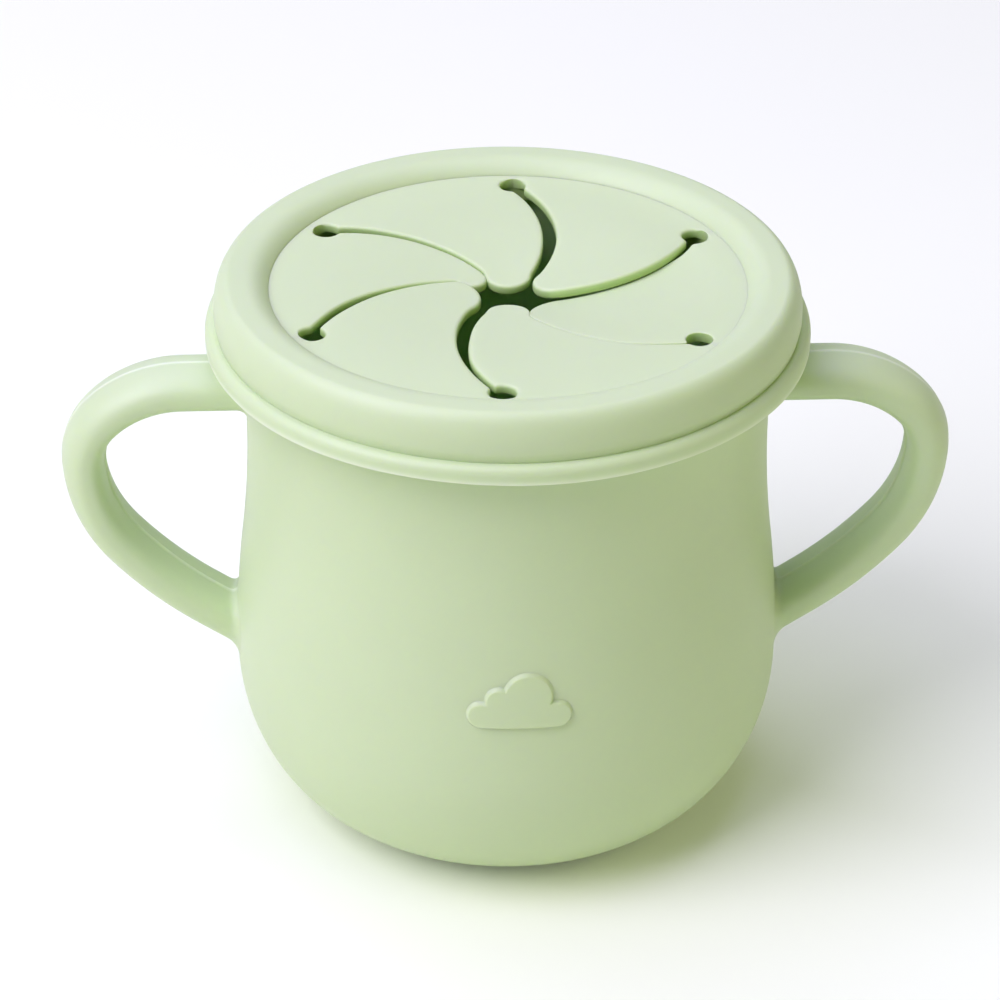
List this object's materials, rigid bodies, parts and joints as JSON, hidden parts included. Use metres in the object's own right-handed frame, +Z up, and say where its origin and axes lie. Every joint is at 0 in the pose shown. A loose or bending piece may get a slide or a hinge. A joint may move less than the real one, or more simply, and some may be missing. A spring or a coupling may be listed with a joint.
{
  "type": "toddler snack cup",
  "caption": "Pot-shaped silicone cup with a loop handle on each side and a stretch-on lid whose membrane is cut into curved petals that bend for a hand.",
  "frame": {"origin": "middle of the base, on the surface that the cup stands on", "axes": "+Z up, +X along the handles towards the right one, -Y the front with the raised motif"},
  "size_m": [0.135, 0.09, 0.0885],
  "materials": {
    "cup_silicone": "matte pastel green silicone",
    "lid_silicone": "matte pastel green silicone, slightly smoother on the membrane"
  },
  "bodies": {
    "cup": {"cup_body": "cup_silicone", "left_handle": "cup_silicone", "right_handle": "cup_silicone", "front_motif": "cup_silicone"},
    "lid": {"lid_rim": "lid_silicone", "lid_snap_lip": "lid_silicone"},
    "petal_1": {"lid_petal_1": "lid_silicone"},
    "petal_2": {"lid_petal_2": "lid_silicone"},
    "petal_3": {"lid_petal_3": "lid_silicone"},
    "petal_4": {"lid_petal_4": "lid_silicone"},
    "petal_5": {"lid_petal_5": "lid_silicone"},
    "petal_6": {"lid_petal_6": "lid_silicone"}
  },
  "joints": [
    {"name": "lid_lift", "type": "slide", "parent": "cup", "child": "lid", "axis": [0, 0, 1], "range_m": [0, 0.035], "deforming": ["lid_snap_lip"]},
    {"name": "petal_1_bend", "type": "hinge", "parent": "lid", "child": "petal_1", "pos_m": [0.0156, 0.02322, 0.0856], "axis": [0.83, -0.5577, 0], "range_deg": [-75, 75], "stiffness_Nm_per_rad": 0.006},
    {"name": "petal_2_bend", "type": "hinge", "parent": "lid", "child": "petal_2", "pos_m": [0.02791, -0.0019, 0.0856], "axis": [-0.068, -0.9977, 0], "range_deg": [-75, 75], "stiffness_Nm_per_rad": 0.006},
    {"name": "petal_3_bend", "type": "hinge", "parent": "lid", "child": "petal_3", "pos_m": [0.01231, -0.02512, 0.0856], "axis": [-0.898, -0.4399, 0], "range_deg": [-75, 75], "stiffness_Nm_per_rad": 0.006},
    {"name": "petal_4_bend", "type": "hinge", "parent": "lid", "child": "petal_4", "pos_m": [-0.0156, -0.02322, 0.0856], "axis": [-0.83, 0.5577, 0], "range_deg": [-75, 75], "stiffness_Nm_per_rad": 0.006},
    {"name": "petal_5_bend", "type": "hinge", "parent": "lid", "child": "petal_5", "pos_m": [-0.02791, 0.0019, 0.0856], "axis": [0.068, 0.9977, 0], "range_deg": [-75, 75], "stiffness_Nm_per_rad": 0.006},
    {"name": "petal_6_bend", "type": "hinge", "parent": "lid", "child": "petal_6", "pos_m": [-0.01231, 0.02512, 0.0856], "axis": [0.898, 0.4399, 0], "range_deg": [-75, 75], "stiffness_Nm_per_rad": 0.006}
  ]
}
